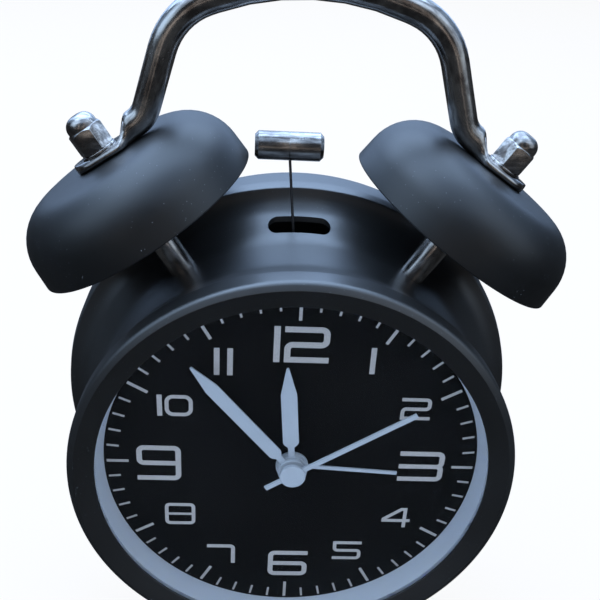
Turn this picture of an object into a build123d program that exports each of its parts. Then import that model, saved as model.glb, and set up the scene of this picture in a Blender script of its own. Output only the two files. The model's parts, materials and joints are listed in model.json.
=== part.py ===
from build123d import *
import os
from math import sin, cos, tan, sqrt, radians, pi

# Twin bell alarm clock. Millimetres. The origin is on the surface it stands on, under the
# middle of the clock. The dial faces -Y, +X is the viewer's right and +Z is up.
# Y = 0 is the plane that both bells, their posts and the handle share.

# Case. Radii step out from the waist, and stations follow each other from the dial back.
DIAL_Y = -20.0          # front face of the dial
WAIST_R = 48.9          # outside of the drum at its waist
WALL = 1.0              # spun metal wall
FLARE_STEP = 2.3        # from the waist out to the drum behind the bezel
SPIGOT_STEP = 0.4       # from the waist out to the spigot that the bezel slips over
SPIGOT_L = 2.4
NECK_STEP = 4.7         # from the waist out to the foot of the rear flange
RIM_STEP = 4.6          # from that foot out to the rear flange
SHOULDER_L = 2.6        # the step that the bezel meets, in front of the dial
FLARE_L = 8.1
WAIST_L = 15.0
NECK_L = 8.9
RIM_SLOPE_L = 1.2
RIM_L = 9.8             # length of the rear flange
FOOT_H = 2.3            # room under the rear flange
FIT = 0.1               # clearance of fixed pieces that slip together
HUG = 0.3               # clearance round a loose or soft piece

FLARE_R = WAIST_R + FLARE_STEP
SPIGOT_R = WAIST_R + SPIGOT_STEP
NECK_R = WAIST_R + NECK_STEP
RIM_R = NECK_R + RIM_STEP
AXIS_Z = RIM_R + FOOT_H
SHOULDER_Y = DIAL_Y - SHOULDER_L
WAIST_FRONT_Y = SHOULDER_Y + FLARE_L
WAIST_REAR_Y = WAIST_FRONT_Y + WAIST_L
NECK_Y = WAIST_REAR_Y + NECK_L
BACK_Y = NECK_Y + RIM_SLOPE_L + RIM_L

# Light ring, glass and bezel, from the drum's wall inward and from the dial forward
RING_T = 2.9            # wall of the light ring
RING_CHAMFER = 0.5
LENS_GAP = 5.8          # room between the dial and the glass
LENS_T = 1.0
LENS_LAP = 2.6          # the bezel covers the glass this far in
SIGHT_STEP = 0.5        # the opening of the bezel, outside the ring's bore
BEZEL_STEP = 0.3        # the bezel stands out round the drum
RIDGE_STEP = 1.7        # its sharp ridge, inside its outer wall
BEZEL_LIP_L = 0.5
BEZEL_SLOPE_L = 1.6

ring_out = WAIST_R - WALL - FIT
RING_R = ring_out - RING_T
SIGHT_R = RING_R + SIGHT_STEP
LENS_R = SIGHT_R + LENS_LAP
BEZEL_R = FLARE_R + BEZEL_STEP
RIDGE_R = BEZEL_R - RIDGE_STEP
LENS_REAR_Y = DIAL_Y - LENS_GAP
SIGHT_Y = LENS_REAR_Y - LENS_T - BEZEL_LIP_L
BEZEL_FRONT_Y = SIGHT_Y - BEZEL_SLOPE_L

# Dial, carrier and movement
DIAL_T = 0.8
ARBOR_HOLE_D = 6.6
CARRIER_T = 2.0
MOVE_W = 54.0           # movement housing, across and up
MOVE_T = 14.0
MOVE_R = 7.0            # its corner radius
LAMP_D = 2.4
LAMP_R = (RING_R + ring_out) / 2
LAMP_L = 4.2
LAMP_ANGLES = (-150, 150, -30, 30)

# Nested arbors, outer diameters
RUN = 0.05              # running clearance on the radius
ALARM_PIPE_D = 4.8
HOUR_PIPE_D = 3.6
MINUTE_PIPE_D = 2.3
SECOND_SHAFT_D = 1.1
BUSH_D = 6.4
ARBOR_STEP = 2.0        # each inner arbor reaches this much deeper
ARBOR_ROOT = 4.0        # depth of the outermost arbor behind the dial

# Hands: height of the blade above the dial, angle clockwise from twelve, reach and hub
BLADE_T = 0.4
ALARM_HAND = dict(lift=0.7, turn=93.8, reach=25.4, hub=7.7)
HOUR_HAND = dict(lift=1.8, turn=-4.7, reach=27.6, hub=7.2)
MINUTE_HAND = dict(lift=2.9, turn=-40.4, reach=36.3, hub=6.8)
SECOND_HAND = dict(lift=4.6, turn=57.2, reach=32.6, hub=6.1)
HUB_T = 0.9
CAP_T = 1.1             # the second hand's hub is a thicker cap
CAP_ROUND = 0.35
SECOND_TAIL = 7.4
SECOND_W = 1.25
ALARM_W = 0.9
HOUR_W = 3.7
HOUR_NECK_L = 6.1       # from the axis to the foot of the blade's shoulders
MINUTE_W = 3.15
MINUTE_NECK_L = 5.2
HAND_NECK_W = 1.5
HAND_SHOULDER_L = 1.3   # the blade widens over this length
HAND_TAPER_L = 7.0      # and runs to its tip over this one
HAND_TIP_W = 0.5

# Bells, on axes that meet the case axis
BELL_TILT = 33.1
BELL_LIFT = 5.15        # rim of the bell clear of the rear flange
BELL_FLAT_R = 6.6       # flat seat at the crown
BELL_CROWN_R = 25.7     # corner that the shoulder rounds off
BELL_DROP = 0.4         # fall of the crown to that corner
SHOULDER_R = 11.5
BELL_RIM_R = 27.05      # the wall flares a little to its rim
BELL_H = 15.45
CROWN_W = RIM_R + BELL_LIFT + BELL_H  # crown of the bell from the case axis
BELL_T = 1.0
STUD_D = 4.0
STUD_FIT = 0.1          # radial room of the stud in its holes
POST_D = 6.4
NUT_AF = 7.0
NUT_H = 5.2
DOME_H = 2.9
WASHER_D = 8.0
WASHER_T = 0.5
HEX_NUT_T = 2.8

# Handle
TUBE_D = 5.9
TAB_T = 2.0
TAB_W = 9.4
TAB_END = 6.6           # reach of the tab past the stud
TAB_REACH = 12.3        # stud to elbow, along the crown
TAB_FLAT = 4.9          # stud to the start of the flattening
ELBOW_R = 6.5
LEG_TILT = 17.1
CORNER_R = 15.0
ARCH_R = 57.0
ARCH_SLOPE = 20.0
ARCH_RISE = 23.9        # the tube's centre at the top, above the crowns' circle
ARCH_TOP = AXIS_Z + CROWN_W + ARCH_RISE

# Striker
STRIKER_Y = 4.5
PIVOT_DEPTH = 13.9      # pin of the hammer, inside the waist
PIVOT_Z = AXIS_Z + WAIST_R - PIVOT_DEPTH
PIVOT_D = 1.6
PIVOT_RUN = 0.04
HUB_EYE_D = 4.4
HUB_EYE_T = 3.0
STEM_D = 0.8
STEM_LEAN = 5.4         # parked against the left, degrees
HAMMER_RISE = 1.3       # hammer axis, above the nearest points of the bells' rims
HAMMER_D = 6.2
HAMMER_PLAY = 4.33      # between each bell and a hammer that stands upright
HAMMER_CHAMFER = 0.8
tilt = radians(BELL_TILT)
bell_gap = (CROWN_W - BELL_H) * sin(tilt) - BELL_RIM_R * cos(tilt)
bell_high = (CROWN_W - BELL_H) * cos(tilt) + BELL_RIM_R * sin(tilt)
STEM_L = (AXIS_Z + bell_high + HAMMER_RISE - PIVOT_Z) / cos(radians(STEM_LEAN))
HAMMER_L = 2 * (bell_gap - HAMMER_PLAY)
TAIL_L = 9.0
TAIL_W = 2.4
SLOT_L = 14.6
SLOT_W = 4.5
SLOT_Y = 4.35
PLATE_T = 1.0
PLATE_W = 24.0
PLATE_H = 16.0
COIL_D = 8.0
COIL_L = 7.0
CORE_D = 3.0
CORE_GAP = 1.0

# Legs and heel
LEG_TURN = 28.0
LEG_Y = -9.0
LEG_D = 6.6
LEG_NECK_D = 5.0
COLLAR_T = 1.0          # collar at the top of the leg
TIP_D = 9.0
TIP_L = 5.0             # rubber tip, along the leg
TIP_SOCKET = 2.2
HEEL_W = 20.0
HEEL_L = 7.0

# Back cover and what is on it
COVER_T = 2.2
COVER_INSET = 0.6
SCREW_TURNS = (45, 135, 225, 315)
SCREW_IN = 7.2          # screws, inside the rear flange
SCREW_R = RIM_R - SCREW_IN
SCREW_D = 2.6
SCREW_HEAD_D = 5.0
SCREW_HEAD_T = 1.2
SCREW_L = 8.0
SCREW_BOSS_D = 6.0
KNOB_X = 16.0
KNOB_UP = 15.5          # above the case axis
KNOB_Z = AXIS_Z + KNOB_UP
KNOB_D = 13.0
KNOB_H = 7.7
KNOB_RIBS = 20
KNOB_SHAFT_D = 3.0
KNOB_STAND = 0.8        # gap under a knob
CONTROL_TURN = 34.5     # switch and button, to each side of straight up
CONTROL_IN = 13.0       # and inside the foot of the rear flange
CONTROL_X = (NECK_R - CONTROL_IN) * sin(radians(CONTROL_TURN))
CONTROL_Z = AXIS_Z + (NECK_R - CONTROL_IN) * cos(radians(CONTROL_TURN))
SWITCH_W = 7.0
SWITCH_H = 4.4
SWITCH_TRAVEL = 4.0
SWITCH_PROUD = 2.4
BUTTON_D = 9.0
BUTTON_PROUD = 2.6
BUTTON_TRAVEL = 1.5
BUTTON_SHANK_D = 4.0
FLANGE_W = 1.0          # flange behind the cover that keeps a control in
FLANGE_T = 1.0
BOARD_T = 1.2
BOARD_Y = 8.0
BOARD_W = 12.0
BOARD_H = 10.0

# Battery bay, two AA cells one above the other
CELL_D = 14.2
CELL_L = 49.2
CELL_NUB_D = 5.2
CELL_NUB_L = 1.2
CELL_GAP = 0.6
CONTACT_T = 0.4
BAY_IN = 31.4           # middle of the bay, inside the waist
BAY_Z = AXIS_Z - WAIST_R + BAY_IN
BAY_WALL = 1.2
BAY_ROOM = 1.1          # room at each end for the contacts
DOOR_T = 1.6
DOOR_LAP = 1.6
PIP_D = 0.9             # hinge pips of the door
PIP_L = 1.2
LATCH_W = 12.0

os.makedirs("parts", exist_ok=True)
XZ_FRONT = Plane(origin=(0, 0, AXIS_Z), x_dir=(1, 0, 0), z_dir=(0, -1, 0))


def turned(points, radii=0):
    """Ring turned round the case axis from (radius, y) corners."""
    line = FilletPolyline(*points, radius=radii, close=True)
    return Pos(0, 0, AXIS_Z) * revolve(make_face(line), Axis.Y)


def disc(radius, y0, y1, x=0, z=AXIS_Z):
    """Cylinder along Y between two stations."""
    return extrude(Plane.XZ.offset(-y0) * Pos(x, z) * Circle(radius), -(y1 - y0))


def radial(turn, y=0):
    """Frame whose Z runs outward from the case axis, turned from straight up."""
    return Pos(0, y, AXIS_Z) * Rot(0, turn, 0)


def lathe(points, radii=0):
    """Solid turned round local Z from (radius, height) corners."""
    line = FilletPolyline(*points, radius=radii, close=True)
    return revolve(Plane.XZ * make_face(line), Axis.Z)


def rod(diameter, low, high):
    """Cylinder along local Z between two heights."""
    return Pos(0, 0, low) * Cylinder(diameter / 2, high - low, align=(Align.CENTER,) * 2 + (Align.MIN,))


def block(x0, x1, y0, y1, z0, z1):
    """Box between its limits."""
    box = Box(x1 - x0, y1 - y0, z1 - z0, align=(Align.MIN,) * 3)
    return Pos(x0, y0, z0) * box


def save(name, *solids):
    """One STEP file for each node."""
    shape = solids[0] if len(solids) == 1 else Compound(children=list(solids))
    export_step(shape, f"parts/{name}.step")


# Drum: a spun shell with a waist, a front spigot and a raised rear flange
rim_front_y = NECK_Y + RIM_SLOPE_L
spigot_front_y = SHOULDER_Y - SPIGOT_L
outer_line = [
    (SPIGOT_R, spigot_front_y), (SPIGOT_R, SHOULDER_Y), (FLARE_R, SHOULDER_Y), (WAIST_R, WAIST_FRONT_Y),
    (WAIST_R, WAIST_REAR_Y), (NECK_R, NECK_Y), (RIM_R - WALL / 2, rim_front_y),
    (RIM_R, rim_front_y + 3 * WALL), (RIM_R, BACK_Y),
]
outer_radii = [0, 0, 0.5, 14, 14, 1.4, 0.6, 4, 0.4]
inner_line = [
    (RIM_R - WALL, BACK_Y), (RIM_R - WALL, rim_front_y + WALL), (NECK_R - WALL, NECK_Y + WALL),
    (WAIST_R - WALL, WAIST_REAR_Y), (WAIST_R - WALL, WAIST_FRONT_Y), (SPIGOT_R - WALL, SHOULDER_Y),
    (SPIGOT_R - WALL, spigot_front_y),
]
inner_radii = [0, 1, 1, 14, 14, 4, 0]
drum_body = turned([(0, spigot_front_y)] + outer_line + [(0, BACK_Y)], [0] + outer_radii + [0])
drum_void = turned([(0, BACK_Y)] + inner_line + [(0, spigot_front_y)], [0] + inner_radii + [0])
slot = extrude(Pos(0, SLOT_Y) * SlotOverall(SLOT_L, SLOT_W), RIM_R)
stud_hole = rod(STUD_D + 2 * STUD_FIT, WAIST_R / 2, RIM_R)
drum = turned(outer_line + inner_line, outer_radii + inner_radii) - Pos(0, 0, AXIS_Z) * slot
for side in (-1, 1):
    drum -= radial(side * BELL_TILT) * stud_hole
    drum -= radial(180 - side * LEG_TURN, LEG_Y) * stud_hole
save("case_drum", drum)

# Bezel: slips over the spigot, with a ridge and a sloping inner face
lens_front_y = LENS_REAR_Y - LENS_T
lip_y = lens_front_y - FIT / 2
bezel = turned(
    [(BEZEL_R, SHOULDER_Y), (BEZEL_R, BEZEL_FRONT_Y + WALL), (RIDGE_R, BEZEL_FRONT_Y), (SIGHT_R, SIGHT_Y),
     (SIGHT_R, lip_y), (LENS_R + FIT, lip_y), (LENS_R + FIT, spigot_front_y - FIT),
     (SPIGOT_R + FIT / 2, spigot_front_y - FIT), (SPIGOT_R + FIT / 2, SHOULDER_Y)],
    [0.6, 1.6, 0, 0, 0, 0, 0, 0, 0])
save("front_bezel", bezel)
save("lens", disc(LENS_R, lens_front_y, LENS_REAR_Y))

# Light ring between the glass and the dial, dial plate and carrier
save("light_ring", turned([(RING_R + RING_CHAMFER, LENS_REAR_Y), (ring_out, LENS_REAR_Y), (ring_out, DIAL_Y),
                           (RING_R, DIAL_Y), (RING_R, LENS_REAR_Y + RING_CHAMFER)]))
dial_rear_y = DIAL_Y + DIAL_T
carrier_rear_y = dial_rear_y + CARRIER_T
dial = disc(ring_out, DIAL_Y, dial_rear_y) - disc(ARBOR_HOLE_D / 2, DIAL_Y - 1, dial_rear_y + 1)
carrier = disc(ring_out, dial_rear_y, carrier_rear_y)
carrier -= disc(ARBOR_HOLE_D / 2, dial_rear_y - 1, carrier_rear_y + 1)
carrier += disc(ring_out, carrier_rear_y, carrier_rear_y + 2 * CARRIER_T) - disc(
    ring_out - CARRIER_T, carrier_rear_y, carrier_rear_y + 2 * CARRIER_T)
plate_front_y = STRIKER_Y - HUB_EYE_T / 2 - HUG - PLATE_T
tower_z0 = PIVOT_Z - PLATE_H + HUB_EYE_D
tower_z1 = PIVOT_Z + HUB_EYE_D
tower = block(-PLATE_W / 2, PLATE_W / 2, carrier_rear_y, plate_front_y, tower_z0, tower_z1)
carrier += tower
lamps = []
for angle in LAMP_ANGLES:
    spot_x = LAMP_R * sin(radians(angle))
    spot_z = AXIS_Z + LAMP_R * cos(radians(angle))
    lamp_hole = disc(LAMP_D / 2 + FIT, DIAL_Y - 1, carrier_rear_y + LAMP_L, spot_x, spot_z)
    dial -= lamp_hole
    carrier -= lamp_hole
    lamps.append(disc(LAMP_D / 2, DIAL_Y + FIT, DIAL_Y + LAMP_L, spot_x, spot_z))
save("dial_plate", dial)
save("light_lamps", *lamps)

# Movement housing with the bush that the arbors run in
move_rear_y = carrier_rear_y + MOVE_T
move_face = RectangleRounded(MOVE_W, MOVE_W, MOVE_R)
movement = extrude(XZ_FRONT.offset(-carrier_rear_y) * move_face, -MOVE_T)
movement += disc(BUSH_D / 2, DIAL_Y, carrier_rear_y)
arbor_ends = [DIAL_Y + ARBOR_ROOT + n * ARBOR_STEP for n in range(4)]
arbor_diameters = [ALARM_PIPE_D, HOUR_PIPE_D, MINUTE_PIPE_D, SECOND_SHAFT_D]
for diameter, end in zip(arbor_diameters, arbor_ends):
    movement -= disc(diameter / 2 + RUN, DIAL_Y - 1, end + FIT)
for side in (-1, 1):
    movement -= disc(KNOB_SHAFT_D / 2 + RUN, move_rear_y - ARBOR_STEP, move_rear_y, side * KNOB_X, KNOB_Z)
save("movement_housing", movement)


def blade(outline, y):
    """Flat hand blade from its outline seen from the front, tip up."""
    return extrude(XZ_FRONT.offset(-y) * outline, -BLADE_T)


def leaf(reach, wide, neck_l):
    """Leaf outline: narrow neck, sloping shoulders, even blade, pointed tip."""
    half = [(HAND_NECK_W / 2, 0), (HAND_NECK_W / 2, neck_l), (wide / 2, neck_l + HAND_SHOULDER_L),
            (wide / 2, reach - HAND_TAPER_L), (HAND_TIP_W / 2, reach)]
    corners = [(-x, y) for x, y in half] + [(x, y) for x, y in reversed(half)]
    return make_face(Polyline(*corners, close=True))


def turn_hand(shape, spec):
    """Turn a hand clockwise from twelve as seen from the front."""
    return Pos(0, 0, AXIS_Z) * Rot(0, spec["turn"], 0) * Pos(0, 0, -AXIS_Z) * shape


# Hands, each with its hub and its arbor as separate nodes
bar_alarm = Pos(0, ALARM_HAND["reach"] / 2) * Rectangle(ALARM_W, ALARM_HAND["reach"])
bar_second = Pos(0, (SECOND_HAND["reach"] - SECOND_TAIL) / 2) * Rectangle(
    SECOND_W, SECOND_HAND["reach"] + SECOND_TAIL)
hands = [
    ("alarm", ALARM_HAND, bar_alarm, HUB_T),
    ("hour", HOUR_HAND, leaf(HOUR_HAND["reach"], HOUR_W, HOUR_NECK_L), HUB_T),
    ("minute", MINUTE_HAND, leaf(MINUTE_HAND["reach"], MINUTE_W, MINUTE_NECK_L), HUB_T),
    ("second", SECOND_HAND, bar_second, CAP_T),
]
inner_bores = [d / 2 + RUN for d in arbor_diameters[1:]] + [0]
for (name, spec, outline, hub_t), diameter, bore, end in zip(hands, arbor_diameters, inner_bores, arbor_ends):
    front_y = DIAL_Y - spec["lift"]
    hub_front_y = front_y - hub_t + BLADE_T
    hub = disc(spec["hub"] / 2, hub_front_y, front_y + BLADE_T)
    if not bore:
        hub = fillet(hub.edges().filter_by(GeomType.CIRCLE).group_by(Axis.Y)[0], CAP_ROUND)
    hand = blade(outline, front_y) + hub
    pipe_front_y = hub_front_y if bore else hub_front_y + BLADE_T
    hand -= disc(diameter / 2, pipe_front_y - (1 if bore else 0), front_y + 1)
    pipe = disc(diameter / 2, pipe_front_y, end)
    if bore:
        pipe -= disc(bore, pipe_front_y - 1, end + 1)
    save(f"{name}_hand", turn_hand(hand, spec))
    save(f"{name}_arbor", pipe)

# Bells: shells of even wall with a round shoulder and a wall that flares to a plain rim
bell_outer = lathe(
    [(0, 0), (BELL_FLAT_R, 0), (BELL_CROWN_R, -BELL_DROP), (BELL_RIM_R, -BELL_H), (0, -BELL_H)],
    [0, SHOULDER_R, SHOULDER_R, 0, 0])
bell_inner = lathe(
    [(0, -BELL_T), (BELL_FLAT_R, -BELL_T), (BELL_CROWN_R - BELL_T, -BELL_DROP - BELL_T),
     (BELL_RIM_R - BELL_T, -BELL_H), (BELL_RIM_R - BELL_T, -BELL_H - BELL_T), (0, -BELL_H - BELL_T)],
    [0, SHOULDER_R, SHOULDER_R - BELL_T, 0, 0, 0])
bell = bell_outer - bell_inner - rod(STUD_D + 2 * STUD_FIT, -BELL_H, BELL_T)

# Post: plain shank between case and crown, with a stud at both ends
tab_top = TAB_T
nut_seat = tab_top + WASHER_T
stud_top = nut_seat + NUT_H - WASHER_T
nut_inside_w = sqrt((WAIST_R - WALL) ** 2 - (NUT_AF / sqrt(3)) ** 2) - FIT
post = rod(POST_D, 0, CROWN_W - BELL_T)
post += rod(STUD_D, CROWN_W - BELL_T - WASHER_T, CROWN_W + stud_top)
washer = rod(WASHER_D, 0, WASHER_T) - rod(STUD_D + 2 * STUD_FIT, -WASHER_T, 2 * WASHER_T)
nut_hex = extrude(RegularPolygon(NUT_AF / 2, 6, major_radius=False), NUT_H)
nut_corner = NUT_AF / sqrt(3)
nut_turned = lathe(
    [(0, 0), (nut_corner - 0.4, 0), (nut_corner, 0.4), (nut_corner, NUT_H - 0.5), (NUT_AF / 2 - 0.1, NUT_H),
     (NUT_AF / 2 - 0.1, NUT_H + DOME_H), (0, NUT_H + DOME_H)],
    [0, 0, 0, 0, 0, DOME_H - 0.4, 0])
nut_tall = extrude(RegularPolygon(NUT_AF / 2, 6, major_radius=False), NUT_H + DOME_H)
cap_nut = (nut_tall & nut_turned) - rod(STUD_D, -1, NUT_H - WASHER_T)
hex_nut = extrude(RegularPolygon(NUT_AF / 2, 6, major_radius=False), HEX_NUT_T) - rod(
    STUD_D, -1, HEX_NUT_T + 1)
solid_drum = drum_body
stud_root = nut_inside_w - HEX_NUT_T - WASHER_T
washers, cap_nuts, inner_nuts = [], [], []
for side, name in ((-1, "left"), (1, "right")):
    place = radial(side * BELL_TILT)
    save(f"bell_{name}", place * Pos(0, 0, CROWN_W) * bell)
    shank = place * post - solid_drum
    shank += place * rod(STUD_D, stud_root, WAIST_R + WASHER_T)
    save(f"bell_post_{name}", shank)
    washers.append(place * Pos(0, 0, CROWN_W + tab_top) * washer)
    cap_nuts.append(place * Pos(0, 0, CROWN_W + nut_seat) * cap_nut)
    inner_nuts.append(place * Pos(0, 0, nut_inside_w - HEX_NUT_T) * hex_nut)
save("tab_washers", *washers)
save("cap_nuts", *cap_nuts)

# Handle: bent tube whose ends are flattened into pierced tabs on the bell crowns
outward = Vector(sin(tilt), 0, cos(tilt))
inward = Vector(-cos(tilt), 0, sin(tilt))
stud_foot = Vector(0, 0, AXIS_Z) + outward * CROWN_W
elbow = stud_foot + outward * (TUBE_D / 2) + inward * TAB_REACH
elbow_turn = 90 + (90 - LEG_TILT) - 90 - BELL_TILT
elbow_tangent = ELBOW_R * tan(radians(elbow_turn / 2))
round_end = elbow - inward * (elbow_tangent + 0.3)
apex_z = ARCH_TOP + ARCH_R * (1 / cos(radians(ARCH_SLOPE)) - 1)
slope, lean = tan(radians(ARCH_SLOPE)), tan(radians(LEG_TILT))
knee_x = (elbow.X - lean * (apex_z - elbow.Z)) / (1 - lean * slope)
knee = Vector(knee_x, 0, apex_z - slope * knee_x)


def mirrored(point):
    return Vector(-point.X, point.Y, point.Z)


def tube_section(width, thickness):
    """Closed section of the tube: round, or pressed flat with round edges."""
    flat = width - thickness
    x = (flat + (thickness if flat else width * sqrt(0.5))) / 2 - (thickness / 2 if flat else 0)
    y = thickness / 2 * (1 if flat else sqrt(0.5))
    across = Line if flat else (lambda a, b: ThreePointArc(a, (0, a[1] / abs(a[1]) * width / 2), b))
    edges = [across((-x, y), (x, y)), ThreePointArc((x, y), (width / 2, 0), (x, -y)),
             across((x, -y), (-x, -y)), ThreePointArc((-x, -y), (-width / 2, 0), (-x, y))]
    return make_face(edges)


path = FilletPolyline(
    mirrored(round_end), mirrored(elbow), mirrored(knee), Vector(0, 0, apex_z), knee, elbow, round_end,
    radius=[ELBOW_R, CORNER_R, ARCH_R, CORNER_R, ELBOW_R])
tube_start = Plane(origin=path @ 0, z_dir=path % 0)
handle = sweep(tube_start * Circle(TUBE_D / 2), path=path)
flat_reach = (round_end - stud_foot).dot(inward)
for side in (-1, 1):
    place = radial(side * BELL_TILT) * Pos(0, 0, CROWN_W)
    # local X of the place points down and outward on the right, so the tube lies at -side * X
    round_plane = Plane(origin=(-side * flat_reach, 0, TUBE_D / 2), x_dir=(0, 1, 0), z_dir=(side, 0, 0))
    flat_plane = Plane(origin=(-side * TAB_FLAT, 0, TAB_T / 2), x_dir=(0, 1, 0), z_dir=(side, 0, 0))
    taper = loft([round_plane * tube_section(TUBE_D, TUBE_D), flat_plane * tube_section(TAB_W, TAB_T)])
    tab_mid = side * (TAB_END - TAB_W / 2)
    tab = extrude(Pos(tab_mid, 0) * Circle(TAB_W / 2), TAB_T)
    tab += block(*sorted((-side * TAB_FLAT, tab_mid)), -TAB_W / 2, TAB_W / 2, 0, TAB_T)
    hole = rod(STUD_D + 2 * STUD_FIT, -TAB_T, 2 * TAB_T)
    handle += place * (taper + (tab - hole))
save("handle", handle)

# Legs with rubber tips at the front, cut level with the surface, and a heel under the flange
leg_end = AXIS_Z / cos(radians(LEG_TURN))
leg_plain = leg_end - TIP_L
floor = block(-RIM_R, RIM_R, -RIM_R, RIM_R, -RIM_R, 0)
leg_body = lathe([(0, 0), (LEG_D / 2 + COLLAR_T, 0), (LEG_D / 2 + COLLAR_T, WAIST_R + COLLAR_T),
                  (LEG_NECK_D / 2, WAIST_R + 2 * COLLAR_T), (LEG_D / 2, leg_plain), (LEG_NECK_D / 2, leg_plain),
                  (LEG_NECK_D / 2, leg_plain + TIP_SOCKET), (0, leg_plain + TIP_SOCKET)],
                 [0, 0, 0.4, 2, 0, 0, 0, 0])
tip_body = lathe([(0, leg_plain), (TIP_D / 2, leg_plain), (TIP_D / 2, leg_end + TIP_D), (0, leg_end + TIP_D)],
                 [0, 0.8, 0, 0]) - rod(LEG_NECK_D, leg_plain - 1, leg_plain + TIP_SOCKET)
for side, name in ((-1, "left"), (1, "right")):
    place = radial(180 - side * LEG_TURN, LEG_Y)
    leg = place * leg_body - solid_drum + place * rod(STUD_D, stud_root, WAIST_R + WASHER_T)
    save(f"leg_{name}", leg)
    save(f"leg_tip_{name}", place * tip_body - floor)
    inner_nuts.append(place * Pos(0, 0, nut_inside_w - HEX_NUT_T) * hex_nut)
save("inner_nuts", *inner_nuts)
heel_y = (rim_front_y + 3 * WALL + BACK_Y) / 2
heel = block(-HEEL_W / 2, HEEL_W / 2, heel_y - HEEL_L / 2, heel_y + HEEL_L / 2, 0, AXIS_Z - NECK_R) - solid_drum
save("rear_heel", heel)

# Striker: bracket with its pin, coil, and the hammer on its wire stem
pin = disc(PIVOT_D / 2, plate_front_y, STRIKER_Y + HUB_EYE_T / 2 + 1, 0, PIVOT_Z)
pin_head = disc(PIVOT_D, STRIKER_Y + HUB_EYE_T / 2 + HUG, STRIKER_Y + HUB_EYE_T / 2 + 1, 0, PIVOT_Z)
bracket = block(-PLATE_W / 2, PLATE_W / 2, plate_front_y, plate_front_y + PLATE_T, tower_z0, tower_z1)
save("striker_bracket", bracket + pin + pin_head)
lean_side = -STEM_LEAN
swing = Pos(0, STRIKER_Y, PIVOT_Z) * Rot(0, lean_side, 0)
eye_bore = PIVOT_D / 2 + PIVOT_RUN
lever = Rot(90, 0, 0) * Cylinder(HUB_EYE_D / 2, HUB_EYE_T)
lever += Pos(0, 0, -TAIL_L / 2) * Box(TAIL_W, HUB_EYE_T / 2, TAIL_L)
lever -= Rot(90, 0, 0) * Cylinder(eye_bore, HUB_EYE_T * 2)
stem_foot = HUB_EYE_D / 2 - HUB_EYE_D / 8
stem = rod(STEM_D, stem_foot, STEM_L - HAMMER_D / 2 + STEM_D)
lever -= rod(STEM_D, stem_foot, STEM_L)
save("striker_lever", swing * lever)
save("hammer_stem", swing * stem)
head = Cylinder(HAMMER_D / 2, HAMMER_L)
head = chamfer(head.edges().filter_by(GeomType.CIRCLE), HAMMER_CHAMFER)
head = Pos(0, 0, STEM_L) * Rot(0, 90 + STEM_LEAN, 0) * head
save("hammer_head", swing * (head - rod(STEM_D, 0, STEM_L - HAMMER_D / 2 + STEM_D)))
coil_z = PIVOT_Z - TAIL_L + TAIL_W / 2
tail_x = TAIL_L * sin(radians(STEM_LEAN))
core_x = TAIL_W / 2 + 2 * tail_x + CORE_GAP
coil = Pos(core_x + CORE_GAP, STRIKER_Y, coil_z) * Rot(0, 90, 0) * (
    rod(COIL_D, 0, COIL_L) - rod(CORE_D, -1, COIL_L + 1))
coil = coil - block(0, COIL_L * 3, -COIL_D, plate_front_y + PLATE_T, 0, ARCH_TOP)
core = Pos(core_x, STRIKER_Y, coil_z) * Rot(0, 90, 0) * rod(CORE_D, 0, COIL_L + CORE_GAP)
save("striker_coil", coil)
save("coil_core", core)

# Back cover with its battery bay, screw bosses and openings for the controls
cover_rear_y = BACK_Y - COVER_INSET
cover_front_y = cover_rear_y - COVER_T
bay_w = CELL_L + CELL_NUB_L + 2 * BAY_ROOM
bay_h = 2 * CELL_D + 3 * CELL_GAP
bay_depth = CELL_D + CELL_GAP + DOOR_T
bay_front_y = cover_rear_y - bay_depth
bay = [-bay_w / 2, bay_w / 2, bay_front_y, BACK_Y + 1, BAY_Z - bay_h / 2, BAY_Z + bay_h / 2]
cover = disc(RIM_R - WALL - FIT, cover_front_y, cover_rear_y)
grow = [-BAY_WALL, BAY_WALL, -BAY_WALL, 0, -BAY_WALL, BAY_WALL]
bay_box = [v + g for v, g in zip(bay, grow)]
bay_box[3] = cover_front_y
cover += block(*bay_box)
door_w, door_h = bay_w + 2 * DOOR_LAP, bay_h + 2 * DOOR_LAP
door_front_y = cover_rear_y - DOOR_T
door_seat = block(-door_w / 2, door_w / 2, door_front_y, BACK_Y + 1, BAY_Z - door_h / 2, BAY_Z + door_h / 2)
cover = cover - block(*bay) - door_seat
screws = []
for turn in SCREW_TURNS:
    sx, sz = SCREW_R * sin(radians(turn)), AXIS_Z + SCREW_R * cos(radians(turn))
    cover += disc(SCREW_BOSS_D / 2, cover_front_y - SCREW_L, cover_rear_y, sx, sz) & drum_void
    cover -= disc(SCREW_HEAD_D / 2 + FIT, cover_rear_y - SCREW_HEAD_T, BACK_Y, sx, sz)
    cover -= disc(SCREW_D / 2, cover_rear_y - SCREW_L, BACK_Y, sx, sz)
    screw = disc(SCREW_D / 2, cover_rear_y - SCREW_L, cover_rear_y, sx, sz)
    screw += disc(SCREW_HEAD_D / 2, cover_rear_y - SCREW_HEAD_T, cover_rear_y, sx, sz)
    cross = [block(sx - a, sx + a, cover_rear_y - SCREW_HEAD_T / 2, BACK_Y, sz - b, sz + b)
             for a, b in ((SCREW_HEAD_D / 3, SCREW_HEAD_D / 14), (SCREW_HEAD_D / 14, SCREW_HEAD_D / 3))]
    screws.append(screw - cross[0] - cross[1])
for side in (-1, 1):
    cover -= disc(KNOB_SHAFT_D / 2 + RUN, cover_front_y - 1, BACK_Y, side * KNOB_X, KNOB_Z)
cover -= disc(BUTTON_D / 2 + HUG, cover_front_y - 1, BACK_Y, CONTROL_X, CONTROL_Z)
switch_x0 = -CONTROL_X - SWITCH_W / 2 - SWITCH_TRAVEL
cover -= block(switch_x0 - HUG, -CONTROL_X + SWITCH_W / 2 + HUG, cover_front_y - 1, BACK_Y,
               CONTROL_Z - SWITCH_H / 2 - HUG, CONTROL_Z + SWITCH_H / 2 + HUG)
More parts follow.
